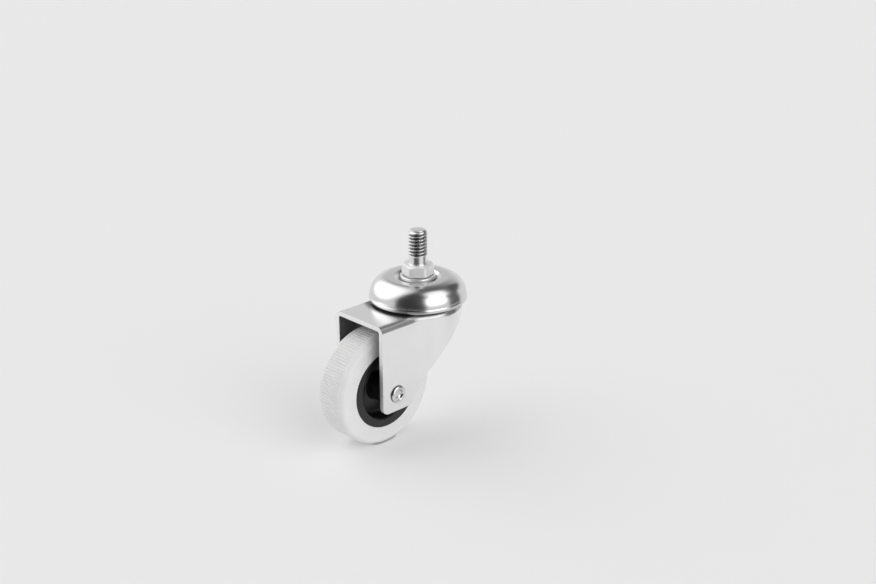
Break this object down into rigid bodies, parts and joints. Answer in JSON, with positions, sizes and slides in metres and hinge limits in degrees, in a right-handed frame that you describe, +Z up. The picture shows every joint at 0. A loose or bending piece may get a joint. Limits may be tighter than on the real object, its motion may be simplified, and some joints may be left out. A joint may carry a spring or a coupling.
{
  "type": "swivel castor",
  "caption": "Furniture castor: a rubber-tyred wheel in a pressed fork that swivels on ball rows under a domed cap, with a hexagon collar and a threaded stem.",
  "frame": {"origin": "where the swivel axis meets the top face of the hexagon collar", "axes": "+Z up the threaded stem, -X the way the wheel trails, Y along the wheel's axle"},
  "size_m": [0.0689, 0.0404, 0.0845],
  "materials": {
    "plated_steel": "bright zinc plated",
    "polished_dome": "polished, bright plated",
    "fork_steel": "satin plated",
    "race_steel": "hardened, greased",
    "ball_steel": "ground, greased",
    "axle_steel": "zinc plated",
    "hub_plastic": "black, slightly glossy moulding",
    "tyre_rubber": "pale grey, satin"
  },
  "bodies": {
    "head": {"stem_bolt": "plated_steel", "collar_washer": "plated_steel", "dome_cup": "polished_dome", "lower_race": "race_steel"},
    "fork": {"fork": "fork_steel", "axle_rivet": "axle_steel", "axle_sleeve": "axle_steel"},
    "wheel": {"wheel_hub": "hub_plastic", "tyre": "tyre_rubber"},
    "upper_ball_row": {"upper_ball_01": "ball_steel", "upper_ball_02": "ball_steel", "upper_ball_03": "ball_steel", "upper_ball_04": "ball_steel", "upper_ball_05": "ball_steel", "upper_ball_06": "ball_steel", "upper_ball_07": "ball_steel", "upper_ball_08": "ball_steel", "upper_ball_09": "ball_steel", "upper_ball_10": "ball_steel", "upper_ball_11": "ball_steel", "upper_ball_12": "ball_steel", "upper_ball_13": "ball_steel", "upper_ball_14": "ball_steel", "upper_ball_15": "ball_steel", "upper_ball_16": "ball_steel", "upper_ball_17": "ball_steel", "upper_ball_18": "ball_steel", "upper_ball_19": "ball_steel"},
    "lower_ball_row": {"lower_ball_01": "ball_steel", "lower_ball_02": "ball_steel", "lower_ball_03": "ball_steel", "lower_ball_04": "ball_steel", "lower_ball_05": "ball_steel", "lower_ball_06": "ball_steel", "lower_ball_07": "ball_steel", "lower_ball_08": "ball_steel", "lower_ball_09": "ball_steel", "lower_ball_10": "ball_steel", "lower_ball_11": "ball_steel", "lower_ball_12": "ball_steel", "lower_ball_13": "ball_steel", "lower_ball_14": "ball_steel", "lower_ball_15": "ball_steel", "lower_ball_16": "ball_steel"}
  },
  "joints": [
    {"name": "swivel", "type": "hinge", "parent": "head", "child": "fork", "pos_m": [0, 0, 0], "axis": [0, 0, 1], "continuous": true},
    {"name": "wheel_spin", "type": "hinge", "parent": "fork", "child": "wheel", "pos_m": [-0.0247, 0, -0.046], "axis": [0, 1, 0], "continuous": true},
    {"name": "upper_ball_orbit", "type": "hinge", "parent": "head", "child": "upper_ball_row", "pos_m": [0, 0, -0.01022], "axis": [0, 0, 1], "continuous": true},
    {"name": "lower_ball_orbit", "type": "hinge", "parent": "head", "child": "lower_ball_row", "pos_m": [0, 0, -0.015], "axis": [0, 0, 1], "continuous": true}
  ],
  "couplings": [
    {"joint": "upper_ball_orbit", "follows": "swivel", "ratio": 0.443},
    {"joint": "lower_ball_orbit", "follows": "swivel", "ratio": 0.566}
  ]
}
